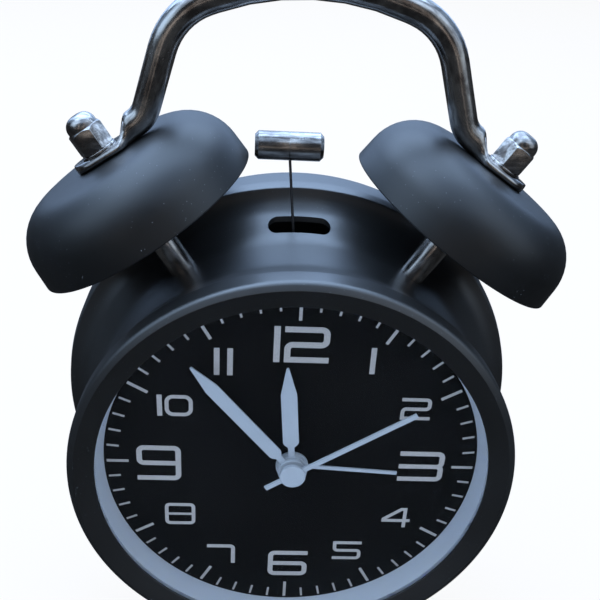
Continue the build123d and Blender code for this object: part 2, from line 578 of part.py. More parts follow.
door_round = DOOR_T / 2 - FIT
hinge_z = BAY_Z - door_h / 2 + HUG + door_round
for side in (-1, 1):
    knuckle = Pos(side * (door_w / 2 + PIP_L / 2), door_front_y + DOOR_T / 2, hinge_z) * Rot(0, 90, 0)
    cover -= knuckle * Cylinder(PIP_D / 2 + RUN, PIP_L + HUG)
save("back_cover", cover)
save("cover_screws", *screws)

# Battery door on two pips at its lower edge, with a thumb recess at the top
door_gap = HUG
door = block(-door_w / 2 + door_gap, door_w / 2 - door_gap, door_front_y + FIT, cover_rear_y,
             BAY_Z - door_h / 2 + door_gap, BAY_Z + door_h / 2 - door_gap)
door = fillet(door.edges().filter_by(Axis.X).group_by(Axis.Z)[0], door_round - FIT / 2)
for side in (-1, 1):
    pip = Pos(side * (door_w / 2 - door_gap + PIP_L / 2 - FIT), door_front_y + DOOR_T / 2, hinge_z)
    door += pip * Rot(0, 90, 0) * Cylinder(PIP_D / 2, PIP_L)
recess = Pos(0, cover_rear_y, BAY_Z + door_h / 2 - LATCH_W / 3) * Rot(90, 0, 0) * Cylinder(LATCH_W / 4, DOOR_T)
door -= recess
save("battery_door", door)

# Cells and their contacts
cells = []
for row in (-1, 1):
    z = BAY_Z + row * (CELL_D + CELL_GAP) / 2
    y = bay_front_y + CELL_GAP / 2 + CELL_D / 2
    can = Pos(-CELL_L / 2 * row, y, z) * Rot(0, 90 * row, 0) * (
        rod(CELL_D, 0, CELL_L - CELL_NUB_L) + rod(CELL_NUB_D, 0, CELL_L))
    save("cell_lower" if row < 0 else "cell_upper", can)
    cells.append((y, z))
contacts = []
for end in (-1, 1):
    x0 = end * (bay_w / 2 - FIT)
    strip = block(*sorted((x0, x0 - end * CONTACT_T)), cells[0][0] - CELL_D / 4, cells[0][0] + CELL_D / 4,
                  BAY_Z - CELL_D, BAY_Z + CELL_D)
    for y, z in cells:
        reach = BAY_ROOM - FIT - HUG / 3
        strip += Pos(x0, y, z) * Rot(0, -90 * end, 0) * rod(CELL_NUB_D / 2, 0, reach)
    contacts.append(strip)
save("battery_contacts", *contacts)

# Setting knobs, ribbed, each on its shaft
knob_front_y = BACK_Y + KNOB_STAND
rib_d = KNOB_D * pi / KNOB_RIBS / 2
for side, name in ((-1, "time"), (1, "alarm")):
    x = side * KNOB_X
    knob = disc(KNOB_D / 2, knob_front_y, knob_front_y + KNOB_H, x, KNOB_Z)
    knob = chamfer(knob.edges().filter_by(GeomType.CIRCLE).group_by(Axis.Y)[-1], WALL / 2)
    for n in range(KNOB_RIBS):
        angle = 2 * pi * n / KNOB_RIBS
        knob -= disc(rib_d / 2, knob_front_y - 1, knob_front_y + KNOB_H + 1,
                     x + KNOB_D / 2 * cos(angle), KNOB_Z + KNOB_D / 2 * sin(angle))
    shaft = disc(KNOB_SHAFT_D / 2, move_rear_y - ARBOR_STEP + FIT, knob_front_y + KNOB_H / 2, x, KNOB_Z)
    save(f"{name}_knob", knob - disc(KNOB_SHAFT_D / 2, knob_front_y - 1, knob_front_y + KNOB_H / 2, x, KNOB_Z))
    save(f"{name}_knob_shaft", shaft)

# Alarm switch slide and light button, over a small circuit board each
switch = block(-CONTROL_X - SWITCH_W / 2, -CONTROL_X + SWITCH_W / 2, BOARD_Y + BOARD_T + HUG,
               BACK_Y + SWITCH_PROUD, CONTROL_Z - SWITCH_H / 2, CONTROL_Z + SWITCH_H / 2)
switch += block(-CONTROL_X - SWITCH_W / 2, -CONTROL_X + SWITCH_W / 2, cover_front_y - FIT - FLANGE_T,
                cover_front_y - FIT, CONTROL_Z - SWITCH_H / 2 - FLANGE_W, CONTROL_Z + SWITCH_H / 2 + FLANGE_W)
for n in (-1, 0, 1):
    gx = -CONTROL_X + n * SWITCH_W / 4
    switch -= block(gx - HUG, gx + HUG, BACK_Y + SWITCH_PROUD - 2 * HUG, BACK_Y + SWITCH_PROUD + 1,
                    CONTROL_Z - SWITCH_H, CONTROL_Z + SWITCH_H)
save("alarm_switch", switch)
button_rear_y = BACK_Y + BUTTON_PROUD
button = disc(BUTTON_D / 2, cover_front_y, button_rear_y, CONTROL_X, CONTROL_Z)
button = fillet(button.edges().filter_by(GeomType.CIRCLE).group_by(Axis.Y)[-1], WALL)
shank_front_y = BOARD_Y + BOARD_T + BUTTON_TRAVEL + HUG
button += disc(BUTTON_D / 2 + FLANGE_W, cover_front_y - FIT - FLANGE_T, cover_front_y - FIT, CONTROL_X, CONTROL_Z)
button += disc(BUTTON_D / 2, cover_front_y - FIT, cover_front_y, CONTROL_X, CONTROL_Z)
button += disc(BUTTON_SHANK_D / 2, shank_front_y, cover_front_y, CONTROL_X, CONTROL_Z)
save("light_button", button)
boards = []
for side in (-1, 1):
    bx = side * CONTROL_X - (SWITCH_TRAVEL / 2 if side < 0 else 0)
    boards.append(block(bx - BOARD_W / 2, bx + BOARD_W / 2, BOARD_Y, BOARD_Y + BOARD_T,
                        CONTROL_Z - BOARD_H / 2, CONTROL_Z + BOARD_H / 2))
save("control_boards", *boards)

# Carrier arms that hold the two boards
for board in boards:
    box = board.bounding_box()
    arm_z = CONTROL_Z - BOARD_H / 4
    carrier += block(box.center().X - CARRIER_T, box.center().X + CARRIER_T, carrier_rear_y, BOARD_Y,
                     arm_z - CARRIER_T, arm_z + CARRIER_T)
carrier -= block(-MOVE_W / 2 - FIT, MOVE_W / 2 + FIT, carrier_rear_y, carrier_rear_y + MOVE_T + FIT,
                 AXIS_Z - MOVE_W / 2 - FIT, AXIS_Z + MOVE_W / 2 + FIT)
save("dial_carrier", carrier)
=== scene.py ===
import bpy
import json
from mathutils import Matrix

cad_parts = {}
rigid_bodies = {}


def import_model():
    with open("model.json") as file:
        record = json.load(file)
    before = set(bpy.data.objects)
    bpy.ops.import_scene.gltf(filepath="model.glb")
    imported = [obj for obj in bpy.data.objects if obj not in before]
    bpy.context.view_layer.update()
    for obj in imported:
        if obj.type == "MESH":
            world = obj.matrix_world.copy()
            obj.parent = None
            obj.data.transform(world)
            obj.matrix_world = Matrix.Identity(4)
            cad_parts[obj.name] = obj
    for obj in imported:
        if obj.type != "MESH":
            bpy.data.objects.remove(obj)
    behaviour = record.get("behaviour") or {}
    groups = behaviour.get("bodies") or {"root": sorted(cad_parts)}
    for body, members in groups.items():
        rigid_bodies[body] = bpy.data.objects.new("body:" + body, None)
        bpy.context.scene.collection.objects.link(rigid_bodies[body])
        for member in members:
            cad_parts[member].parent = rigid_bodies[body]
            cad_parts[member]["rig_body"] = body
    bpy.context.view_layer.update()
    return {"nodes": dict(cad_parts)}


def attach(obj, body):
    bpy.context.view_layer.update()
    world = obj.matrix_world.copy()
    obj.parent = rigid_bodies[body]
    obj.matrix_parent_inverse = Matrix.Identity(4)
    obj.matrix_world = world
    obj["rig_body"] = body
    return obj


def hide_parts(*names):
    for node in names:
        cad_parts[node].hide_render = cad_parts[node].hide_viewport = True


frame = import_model()

import json
from math import atan2, ceil, cos, pi, radians, sin, sqrt, tan

import bpy
from mathutils import Matrix, Vector

# The studio: a pale floor that keeps the clock's shadow, soft bluish lamps, and cards that
# only gloss sees: a dark room in front with slim pale strips, and a blue sky behind and above.
# The camera stands close in front of the clock, above it and a little to its left.
def white_rays(tree):
    """1 for the rays that see a plain white studio: the camera's, off gloss and through glass."""
    rays = tree.nodes.new("ShaderNodeLightPath")
    seen = rays.outputs["Is Camera Ray"]
    for kind in ("Is Transmission Ray", "Is Glossy Ray"):
        either = tree.nodes.new("ShaderNodeMath")
        either.operation = "MAXIMUM"
        tree.links.new(seen, either.inputs[0])
        tree.links.new(rays.outputs[kind], either.inputs[1])
        seen = either.outputs[0]
    return seen


world = bpy.data.worlds.new("studio_air")
bpy.context.scene.world = world
world.use_nodes = True
air = world.node_tree
air.nodes.clear()
direction = air.nodes.new("ShaderNodeTexCoord")
split = air.nodes.new("ShaderNodeSeparateXYZ")
air.links.new(direction.outputs["Generated"], split.inputs[0])
height = air.nodes.new("ShaderNodeValToRGB")
low_air, high_air = height.color_ramp.elements
low_air.position, low_air.color = 0.0, (0.14, 0.15, 0.16, 1)
high_air.position, high_air.color = 0.7, (0.42, 0.50, 0.62, 1)
air.links.new(split.outputs["Z"], height.inputs[0])
plain = air.nodes.new("ShaderNodeBackground")
air.links.new(height.outputs["Color"], plain.inputs["Color"])
white = air.nodes.new("ShaderNodeBackground")
white.inputs["Color"].default_value = (1, 1, 1, 1)
pick = air.nodes.new("ShaderNodeMixShader")
air.links.new(white_rays(air), pick.inputs[0])
air.links.new(plain.outputs[0], pick.inputs[1])
air.links.new(white.outputs[0], pick.inputs[2])
air_out = air.nodes.new("ShaderNodeOutputWorld")
air.links.new(pick.outputs[0], air_out.inputs["Surface"])


def lone():
    """Nothing selected, so that an operator acts on what it makes."""
    if bpy.context.object and bpy.context.object.mode != "OBJECT":
        bpy.ops.object.mode_set(mode="OBJECT")
    bpy.ops.object.select_all(action="DESELECT")


def sheet_of(name, size, place, turn=(0, 0, 0)):
    lone()
    bpy.ops.mesh.primitive_plane_add(size=1, location=place, rotation=turn)
    made = bpy.context.object
    made.name = name
    made.scale = (size[0], size[1], 1)
    bpy.ops.object.transform_apply(location=False, rotation=False, scale=True)
    return made


def studio_stuff(name):
    """An empty material and its nodes."""
    stuff = bpy.data.materials.new(name)
    stuff.use_nodes = True
    stuff.node_tree.nodes.clear()
    return stuff, stuff.node_tree


floor = sheet_of("studio_floor", (3.0, 3.0), (0, 0.6, -0.0002))
floor_paper, paper = studio_stuff("studio_paper")
floor_white = 0.91
share = paper.nodes.new("ShaderNodeMath")
share.operation = "MULTIPLY"
paper.links.new(white_rays(paper), share.inputs[0])
share.inputs[1].default_value = floor_white
matt = paper.nodes.new("ShaderNodeBsdfDiffuse")
matt.inputs["Color"].default_value = (0.86, 0.86, 0.86, 1)
glow = paper.nodes.new("ShaderNodeEmission")
paper_mix = paper.nodes.new("ShaderNodeMixShader")
paper_out = paper.nodes.new("ShaderNodeOutputMaterial")
paper.links.new(share.outputs[0], paper_mix.inputs[0])
paper.links.new(matt.outputs[0], paper_mix.inputs[1])
paper.links.new(glow.outputs[0], paper_mix.inputs[2])
paper.links.new(paper_mix.outputs[0], paper_out.inputs["Surface"])
floor.data.materials.append(floor_paper)

dark, dusk, strip = (0.028, 0.031, 0.035, 1), (0.22, 0.32, 0.48, 1), (0.52, 0.46, 0.42, 1)
blue_back, blue_above = (0.66, 0.96, 1.50, 1), (0.46, 0.64, 0.93, 1)
level, tipped = (0, 0, 0), (radians(78), 0, 0)
facing_front, facing_side = (radians(90), 0, 0), (0, radians(90), 0)
for name, size, place, turn, shade in (
        ("table_card", (1.9, 1.9), (0, 0, -0.0001), level, dark),
        ("front_card", (1.9, 0.75), (0, -0.62, 0.36), tipped, dark),
        ("left_strip", (0.05, 0.7), (-0.20, -0.60, 0.36), tipped, strip),
        ("right_strip", (0.06, 0.7), (0.26, -0.60, 0.36), tipped, strip),
        ("level_strip", (1.2, 0.035), (0, -0.59, 0.15), tipped, strip),
        ("low_back_card", (1.9, 0.16), (0, 0.95, 0.08), facing_front, dark),
        ("sky_card", (1.9, 0.9), (0, 0.95, 0.61), facing_front, blue_back),
        ("high_card", (1.9, 2.2), (0, -0.1, 1.12), level, blue_above),
        ("left_card", (0.42, 1.9), (-0.95, 0, 0.21), facing_side, dark),
        ("left_high_card", (0.7, 1.9), (-0.95, 0, 0.77), facing_side, dusk),
        ("right_card", (0.42, 1.9), (0.95, 0, 0.21), facing_side, dark),
        ("right_high_card", (0.7, 1.9), (0.95, 0, 0.77), facing_side, dusk)):
    card_stock, card_tree = studio_stuff("studio_" + name)
    card_face = card_tree.nodes.new("ShaderNodeEmission")
    card_face.inputs["Color"].default_value = shade
    card_out = card_tree.nodes.new("ShaderNodeOutputMaterial")
    card_tree.links.new(card_face.outputs[0], card_out.inputs["Surface"])
    card = sheet_of(name, size, place, turn)
    card.data.materials.append(card_stock)
    card.visible_camera = card.visible_diffuse = card.visible_shadow = False
    card.visible_transmission = False

clock_middle = Vector((0, 0, 0.09))
for name, place, size, watts, tint in (
        ("sky_lamp", (-0.10, 0.30, 0.95), 1.45, 17.0, (0.48, 0.68, 1.0)),
        ("window_lamp", (-0.55, -0.28, 0.62), 0.80, 1.6, (0.58, 0.77, 1.0)),
        ("room_lamp", (0.60, -0.40, 0.50), 0.80, 1.1, (0.72, 0.85, 1.0))):
    lamp = bpy.data.lights.new(name, "AREA")
    lamp.size, lamp.energy, lamp.color = size, watts, tint
    held = bpy.data.objects.new(name, lamp)
    held.location = place
    held.rotation_mode = "QUATERNION"
    held.rotation_quaternion = (clock_middle - Vector(place)).to_track_quat("-Z", "Y")
    bpy.context.scene.collection.objects.link(held)

azimuth, elevation, roll = radians(-3.996), radians(31.181), radians(3.599)
distance, aim = 0.190256, Vector((0.000614, -0.020, 0.085377))
photo_px, focal_px, shift_px, film_mm = 600, 850.49, 75, 36.0
back = Vector((sin(azimuth) * cos(elevation), -cos(azimuth) * cos(elevation), sin(elevation)))
sideways = (-back).cross(Vector((0, 0, 1))).normalized()
upright = sideways.cross(-back)
right = cos(roll) * sideways + sin(roll) * upright
top = cos(roll) * upright - sin(roll) * sideways
lens_data = bpy.data.cameras.new("photo_camera")
lens_data.sensor_width = film_mm
lens_data.lens = film_mm * focal_px / photo_px
lens_data.shift_y = shift_px / photo_px
lens_data.clip_start = 0.01
camera = bpy.data.objects.new("photo_camera", lens_data)
camera.matrix_world = Matrix.Translation(aim + distance * back) @ Matrix(
    (right, top, back)).transposed().to_4x4()
bpy.context.scene.collection.objects.link(camera)
bpy.context.scene.camera = camera
bpy.context.scene.view_settings.view_transform = "Standard"


# Drum case: spun steel in satin black enamel, with a faint orange peel, soft smudges from
# handling and a little settled dust. It is turned on its axis here and its slot is cut out.
class Level:
    """A shader output that can be used in sums."""

    def __init__(self, finish, socket):
        self.finish, self.socket = finish, socket

    def maths(self, operation, first, second):
        return self.finish.node("ShaderNodeMath", {"operation": operation}, {0: first, 1: second})

    def __add__(self, other):
        return self.maths("ADD", self, other)

    def __radd__(self, other):
        return self.maths("ADD", other, self)

    def __sub__(self, other):
        return self.maths("SUBTRACT", self, other)

    def __rsub__(self, other):
        return self.maths("SUBTRACT", other, self)

    def __mul__(self, other):
        return self.maths("MULTIPLY", self, other)

    def __rmul__(self, other):
        return self.maths("MULTIPLY", other, self)

    def __gt__(self, other):
        return self.maths("GREATER_THAN", self, other)

    def __lt__(self, other):
        return self.maths("LESS_THAN", self, other)


class Finish:
    """One surface finish and its nodes."""

    def __init__(self, name):
        self.material = bpy.data.materials.new(name)
        self.material.use_nodes = True
        self.tree = self.material.node_tree
        self.tree.nodes.clear()
        self.place = self.node("ShaderNodeTexCoord", output="Object")

    def node(self, kind, settings=None, sockets=None, output=0):
        made = self.tree.nodes.new(kind)
        for key, value in (settings or {}).items():
            if key == "stops":
                elements = made.color_ramp.elements
                while len(elements) < len(value):
                    elements.new(1.0)
                for element, (position, shade) in zip(elements, value):
                    element.position, element.color = position, (*shade, 1)
            else:
                setattr(made, key, value)
        for key, value in (sockets or {}).items():
            if isinstance(value, Level):
                self.tree.links.new(value.socket, made.inputs[key])
            elif value is not None:
                made.inputs[key].default_value = value
        return Level(self, made.outputs[output])

    def grain(self, scale, detail=2.0, stretch=(1, 1, 1), rough=0.5):
        """Noise of a given number of grains to the metre, drawn out along an axis if asked."""
        spot = self.place
        if stretch != (1, 1, 1):
            spot = self.node("ShaderNodeMapping", {}, {"Vector": self.place, "Scale": stretch})
        return self.node("ShaderNodeTexNoise", {}, {
            "Vector": spot, "Scale": scale, "Detail": detail, "Roughness": rough})

    def flecks(self, scale, size):
        """Round specks, one to a cell, of a given share of the cell."""
        return self.node("ShaderNodeTexVoronoi", {"feature": "F1"}, {
            "Vector": self.place, "Scale": scale, "Randomness": 1.0}) < size

    def tones(self, mask, *stops):
        """Colours along a mask."""
        return self.node("ShaderNodeValToRGB", {"stops": stops}, {"Fac": mask})

    def mixed(self, mask, first, second):
        """Two colours or colour outputs mixed by a mask."""
        return self.node("ShaderNodeMix", {"data_type": "RGBA"}, {0: mask, 6: first, 7: second}, 2)

    def bump(self, height, depth, strength=1.0):
        return self.node("ShaderNodeBump", {}, {
            "Height": height, "Distance": depth, "Strength": strength})

    def coat(self, **sockets):
        """The surface itself, from the Principled shader's own socket names."""
        shown = {key.replace("_", " "): value for key, value in sockets.items()}
        skin = self.node("ShaderNodeBsdfPrincipled", {}, shown, "BSDF")
        end = self.tree.nodes.new("ShaderNodeOutputMaterial")
        self.tree.links.new(skin.socket, end.inputs["Surface"])
        return self.material


def wear(finish, *names):
    """Give a finish to CAD nodes by name."""
    for name in names:
        slots = frame["nodes"][name].data.materials
        if len(slots):
            slots[0] = finish
        else:
            slots.append(finish)


MM = 0.001
axis_up = 60.5
case_axis = Matrix.Translation((0, 0, axis_up * MM)) @ Matrix.Rotation(radians(-90), 4, "X")


def outward(turn, y=0.0, along=0.0):
    """Place whose Z runs out from the case axis, turned clockwise from straight up."""
    return (Matrix.Translation((0, y * MM, axis_up * MM)) @ Matrix.Rotation(radians(turn), 4, "Y")
            @ Matrix.Translation((0, 0, along * MM)))


def rounded(corners):
    """Points of an outline whose corners are (x, y) or (x, y, rounding)."""
    line = []
    for number, corner in enumerate(corners):
        here = Vector(corner[:2])
        if len(corner) < 3 or not corner[2]:
            line.append(here)
            continue
        before = (Vector(corners[number - 1][:2]) - here).normalized()
        after = (Vector(corners[(number + 1) % len(corners)][:2]) - here).normalized()
        half = before.angle(after) / 2
        reach = corner[2] / tan(half)
        middle = here + (before + after).normalized() * corner[2] / sin(half)
        first, last = here + before * reach - middle, here + after * reach - middle
        sweep = pi - 2 * half
        pieces = 2 * max(1, ceil(sweep / radians(14)))
        for step in range(pieces + 1):
            gone = sweep * step / pieces
            line.append(middle + (first * sin(sweep - gone) + last * sin(gone)) / sin(sweep))
    return line


def drawn_line(points, closed=True, flat=False, thick=0.0, name="line"):
    """A curve object through points in millimetres, upright in X and Z unless it is flat."""
    lone()
    curve = bpy.data.curves.new(name, "CURVE")
    curve.dimensions = "2D" if flat else "3D"
    for loop in (points if flat else [points]):
        run = curve.splines.new("POLY")
        run.points.add(len(loop) - 1)
        for point, (x, y) in zip(run.points, loop):
            point.co = (x * MM, y * MM, 0, 1) if flat else (x * MM, 0, y * MM, 1)
        run.use_cyclic_u = closed
    if flat:
        curve.fill_mode = "BOTH"
        curve.extrude = thick * MM / 2
    made = bpy.data.objects.new(name, curve)
    bpy.context.scene.collection.objects.link(made)
    made.select_set(True)
    bpy.context.view_layer.objects.active = made
    bpy.ops.object.convert(target="MESH")
    return bpy.context.object


def edit(*steps):
    """Runs edit mode steps on the object at hand, each on all of it."""
    bpy.ops.object.mode_set(mode="EDIT")
    for step in steps:
        bpy.ops.mesh.select_all(action="SELECT")
        step()
    bpy.ops.object.mode_set(mode="OBJECT")


def placed(made, place):
    """Moves an object's place into its mesh."""
    made.matrix_world = place
    lone()
    made.select_set(True)
    bpy.context.view_layer.objects.active = made
    bpy.ops.object.transform_apply(location=True, rotation=True, scale=True)
    return made


def smooth(made, angle=35):
    lone()
    made.select_set(True)
    bpy.context.view_layer.objects.active = made
    bpy.ops.object.shade_smooth_by_angle(angle=radians(angle))
    return made


def spun(corners, place, closed=True, steps=96, angle=35):
    """Turns an outline of (radius, height) corners round its Z, then puts it in place."""
    made = drawn_line(rounded(corners), closed)
    edit(lambda: bpy.ops.mesh.spin(steps=steps, angle=2 * pi, center=(0, 0, 0), axis=(0, 0, 1)),
         lambda: bpy.ops.mesh.remove_doubles(threshold=1e-6),
         lambda: bpy.ops.mesh.normals_make_consistent(inside=False))
    return smooth(placed(made, place), angle)


def applied(made, kind, **settings):
    """Adds a modifier and applies it."""
    lone()
    made.select_set(True)
    bpy.context.view_layer.objects.active = made
    modifier = made.modifiers.new(kind.lower(), kind)
    for key, value in settings.items():
        setattr(modifier, key, value)
    bpy.ops.object.modifier_apply(modifier=modifier.name)
    return made


def cut(made, tool, operation="DIFFERENCE"):
    applied(made, "BOOLEAN", operation=operation, object=tool, solver="EXACT")
    bpy.data.objects.remove(tool)
    return made


def joined(parts):
    lone()
    for part in parts:
        part.select_set(True)
    bpy.context.view_layer.objects.active = parts[0]
    if len(parts) > 1:
        bpy.ops.object.join()
    return bpy.context.object


def finished(made, name, body, slot, finish, *stood_for):
    """Names a piece, gives it its finish and body, and hides the CAD nodes it stands for."""
    made.name = made.data.name = name
    made.data.materials.clear()
    made.data.materials.append(finish)
    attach(made, body)
    if stood_for:
        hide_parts(*stood_for)
    return made


def black_coat(name, turned, gloss):
    """Satin black enamel with orange peel, smudges and dust, over a share of turning marks."""
    enamel = Finish(name)
    peel = enamel.grain(1100, 3)
    marks = enamel.grain(30, 4, (1, 34, 1), 0.6)
    smudge = enamel.grain(48, 5, rough=0.62)
    patches = enamel.grain(14, 2)
    dust = enamel.flecks(900, 0.085) * (enamel.grain(60, 3) > 0.46)
    black = enamel.tones(smudge, (0.3, (0.002, 0.0025, 0.003)), (0.75, (0.005, 0.006, 0.007)))
    return enamel.coat(
        Base_Color=enamel.mixed(dust * 0.5, black, (0.30, 0.31, 0.33, 1)),
        Roughness=0.32 + smudge * 0.16 + patches * 0.06 + dust * 0.3, IOR=gloss,
        Normal=enamel.bump(peel + marks * turned, 0.00002, 0.3))


black_enamel = black_coat("black_enamel", turned=0, gloss=1.8)
spun_enamel = black_coat("spun_enamel", turned=4, gloss=2.4)
drum = spun([
    (49.3, -25.0), (49.3, -22.6), (51.2, -22.6, 0.5), (48.9, -14.5, 14), (48.9, 0.5, 14),
    (53.6, 9.4, 7), (57.7, 10.6, 0.5), (58.2, 13.6, 4), (58.2, 20.4, 0.35), (57.2, 20.4, 0.35),
    (57.2, 11.6, 1), (52.6, 10.4, 8), (47.9, 0.5, 14), (47.9, -14.5, 14), (48.3, -22.6, 4),
    (48.3, -25.0)], case_axis, steps=180)
slot_x, slot_y, slot_r, slot_middle = 7.3, 2.25, 2.2, (0, 4.35, 116)
slot_tool = drawn_line([rounded([(x * slot_x, y * slot_y, slot_r) for x, y in (
    (-1, -1), (1, -1), (1, 1), (-1, 1))])], flat=True, thick=40, name="slot_tool")
cut(drum, placed(slot_tool, Matrix.Translation([part * MM for part in slot_middle])))
smooth(drum, 30)
finished(drum, "drum_shell", "case", "black_paint", spun_enamel, "case_drum")

# Bezel: a turned ring in the same enamel. It slips over the drum's spigot, and its sharp
# ridge and sloping inner face hold the glass.
bezel = spun([
    (51.5, -22.6, 0.5), (51.5, -27.9, 1.5), (49.8, -28.9, 0.16), (45.4, -27.3, 0.12), (45.4, -26.85),
    (48.1, -26.85), (48.1, -25.1), (49.35, -25.1), (49.35, -22.6)], case_axis, steps=180)
finished(bezel, "bezel_ring", "case", "black_paint", spun_enamel, "front_bezel")

# Glass: a flat disc of clear plastic with a little dust and haze, laid in the bezel's seat.
clear = Finish("clear_glass")
haze = clear.grain(30, 4)
lint = clear.flecks(420, 0.05) * (clear.grain(24, 2) > 0.5)
clear_glass = clear.coat(
    Base_Color=clear.tones(haze, (0.3, (0.10, 0.11, 0.12)), (0.8, (0.20, 0.21, 0.23))),
    Roughness=0.02 + haze * 0.05 + lint * 0.4, Alpha=0.006 + haze * 0.012 + lint * 0.15, IOR=1.5)
glass = spun([(0, -26.8), (48.0, -26.8, 0.15), (48.0, -25.8, 0.15), (0, -25.8)], case_axis,
             closed=False)
finished(glass, "front_glass", "case", "glass", clear_glass, "lens")

# Light ring: a cone of milky plastic that spreads the night light round the dial, with fine
# moulding grain and a soft glow inside the material.
milk = Finish("milky_ring")
mould = milk.grain(1500, 2)
cloudy = milk.grain(26, 3)
milky_ring = milk.coat(
    Base_Color=milk.tones(cloudy, (0.3, (0.58, 0.62, 0.69)), (0.75, (0.68, 0.72, 0.78))),
    Roughness=0.42 + mould * 0.1, Subsurface_Weight=0.35, Subsurface_Radius=(0.6, 0.7, 1.0),
    Subsurface_Scale=0.002, Normal=milk.bump(mould, 0.000015, 0.3))
ring = spun([(45.4, -25.8), (47.8, -25.8, 0.2), (47.8, -20.0), (44.35, -20.0)],
            case_axis, steps=144)
finished(ring, "milky_light_ring", "case", "milky_plastic", milky_ring, "light_ring")

# Dial: a thin black plate, silk printed in pale grey with sixty ticks and twelve numerals
# drawn as even pen strokes with square ends and rounded bends.
matt_black = Finish("dial_black")
tooth = matt_black.grain(2600, 2)
cloud = matt_black.grain(40, 3)
dial_black = matt_black.coat(
    Base_Color=matt_black.tones(cloud, (0.3, (0.005, 0.0043, 0.0038)), (0.8, (0.008, 0.007, 0.006))),
    Roughness=0.6 + tooth * 0.2, Specular_IOR_Level=0.16, Normal=matt_black.bump(tooth, 0.00001, 0.4))
dial_y = -20.0
plate = spun([(3.35, dial_y), (47.6, dial_y), (47.8, -19.8), (47.8, -19.2), (3.35, -19.2)],
             case_axis, steps=120)
finished(plate, "dial_disc", "case", "dial_black", dial_black, "dial_plate")

ink = Finish("pale_print")
speckle = ink.grain(3500, 2)
pale_print = ink.coat(
    Base_Color=ink.tones(speckle, (0.25, (0.50, 0.465, 0.44)), (0.75, (0.64, 0.595, 0.56))),
    Roughness=0.5 + speckle * 0.2)

ink_t, ink_step = 0.07, 0.012


def stroke(points, width, closed=False):
    """The outline, or the two outlines, of a pen line of even width."""
    sides = ([], [])
    count = len(points)
    for number, here in enumerate(points):
        ways = []
        if closed or number:
            ways.append((here - points[number - 1]).normalized())
        if closed or number < count - 1:
            ways.append((points[(number + 1) % count] - here).normalized())
        normals = [Vector((-way.y, way.x)) for way in ways]
        offset = sum(normals, Vector((0, 0)))
        offset = offset * (width / 2 / (1 + (normals[0].dot(normals[-1]) if len(normals) > 1 else 0)))
        sides[0].append(here + offset)
        sides[1].append(here - offset)
    return list(sides) if closed else [sides[0] + sides[1][::-1]]


ticks = []
tick_out, minute_in, minute_w, hour_in, hour_w = 43.7, 40.9, 0.52, 38.6, 0.72
for minute in range(60):
    inner, width = (minute_in, minute_w) if minute % 5 else (hour_in, hour_w)
    way = Vector((sin(radians(6 * minute)), cos(radians(6 * minute))))
    ticks += stroke([way * inner, way * tick_out], width)
marks = [drawn_line(ticks, flat=True, thick=ink_t)]

digit_paths = {
    "1": ["Cb Ct"], "2": ["lT RT RM LM LB! rB"], "3": ["lT RT RM lM", "lM RM RB lB"],
    "5": ["rT LT! LM RM RB lB"], "6": ["rT LT LB CB", "CB RB RM LM"], "7": ["lT RT Rb"],
    "8": ["LT RT RB LB o", "LM RM"], "9": ["lB RB RT CT", "CT LT LM RM"], "0": ["LT RT RB LB o"]}


def digit(sign, left, low, wide, tall, pen, bend):
    """One numeral in its box, millimetres from the middle of the dial.

    A path's letters say where on the box a corner is: capitals lie half a pen inside it, an o
    closes the path, and a corner with ! stays sharp. Each later stroke is a little thinner.
    """
    edge = pen / 2
    across = {"l": left, "L": left + edge, "C": left + wide / 2, "R": left + wide - edge,
              "r": left + wide}
    up = {"b": low, "B": low + edge, "M": low + tall / 2, "T": low + tall - edge, "t": low + tall}
    made = []
    for path in digit_paths[sign]:
        words = path.split()
        closed = words[-1] == "o"
        if closed:
            words.pop()
        last = len(words) - 1
        corners = [(across[word[0]], up[word[1]]) + (
            () if word.endswith("!") or (not closed and number in (0, last)) else (bend,))
            for number, word in enumerate(words)]
        thin = pen * (0.75 if sign == "8" and not closed else 1)
        made.append(drawn_line(stroke(rounded(corners), thin, closed), flat=True,
                               thick=ink_t - ink_step * len(made)))
    return made


for sign, left, low, wide, tall, pen, bend in (
        ("1", -5.55, 28.1, 1.4, 9.0, 1.4, 1), ("2", -3.2, 28.1, 9.95, 9.0, 1.4, 1.2),
        ("1", 16.1, 25.65, 1.2, 6.7, 1.2, 1), ("2", 24.4, 13.5, 7.0, 6.0, 0.88, 0.85),
        ("3", 25.75, -4.4, 10.9, 8.8, 1.28, 1.1),
        ("5", 11.75, -30.3, 7.3, 6.0, 0.88, 0.85), ("6", -4.65, -36.2, 10.1, 8.4, 1.28, 1.1),
        ("7", -20.25, -32.1, 7.1, 6.2, 1.0, 0.85), ("8", -30.5, -19.35, 7.4, 6.7, 0.88, 0.85),
        ("9", -36.7, -5.55, 10.4, 10.1, 1.28, 1.1),
        ("1", -31.45, 13.05, 1.15, 5.7, 1.15, 1), ("0", -29.7, 13.05, 6.35, 5.7, 0.9, 1.5),
        ("1", -18.6, 24.35, 1.25, 6.9, 1.25, 1), ("1", -15.65, 24.35, 1.25, 6.9, 1.25, 1)):
    marks += digit(sign, left, low, wide, tall, pen, bend)
four_left, four_low, four_wide, four_tall, four_pen = 23.35, -19.2, 7.1, 6.2, 0.88
for ink_four, bar in (
        (ink_t, ((0.80, 0.0), (0.80, 1.0))),
        (ink_t - ink_step, ((0.74, 0.93), (0.66, 0.93), (0.06, 0.42), (0.06, 0.35), (1.0, 0.35)))):
    line = [Vector((four_left + four_wide * x, four_low + four_tall * y)) for x, y in bar]
    marks.append(drawn_line(stroke(line, four_pen), flat=True, thick=ink_four))
print_all = joined(marks)


def dial_front(lift):
    """Place of a flat drawing that stands upright, its middle so far in front of the dial."""
    return (Matrix.Translation((0, (dial_y - lift) * MM, axis_up * MM))
            @ Matrix.Rotation(radians(90), 4, "X"))


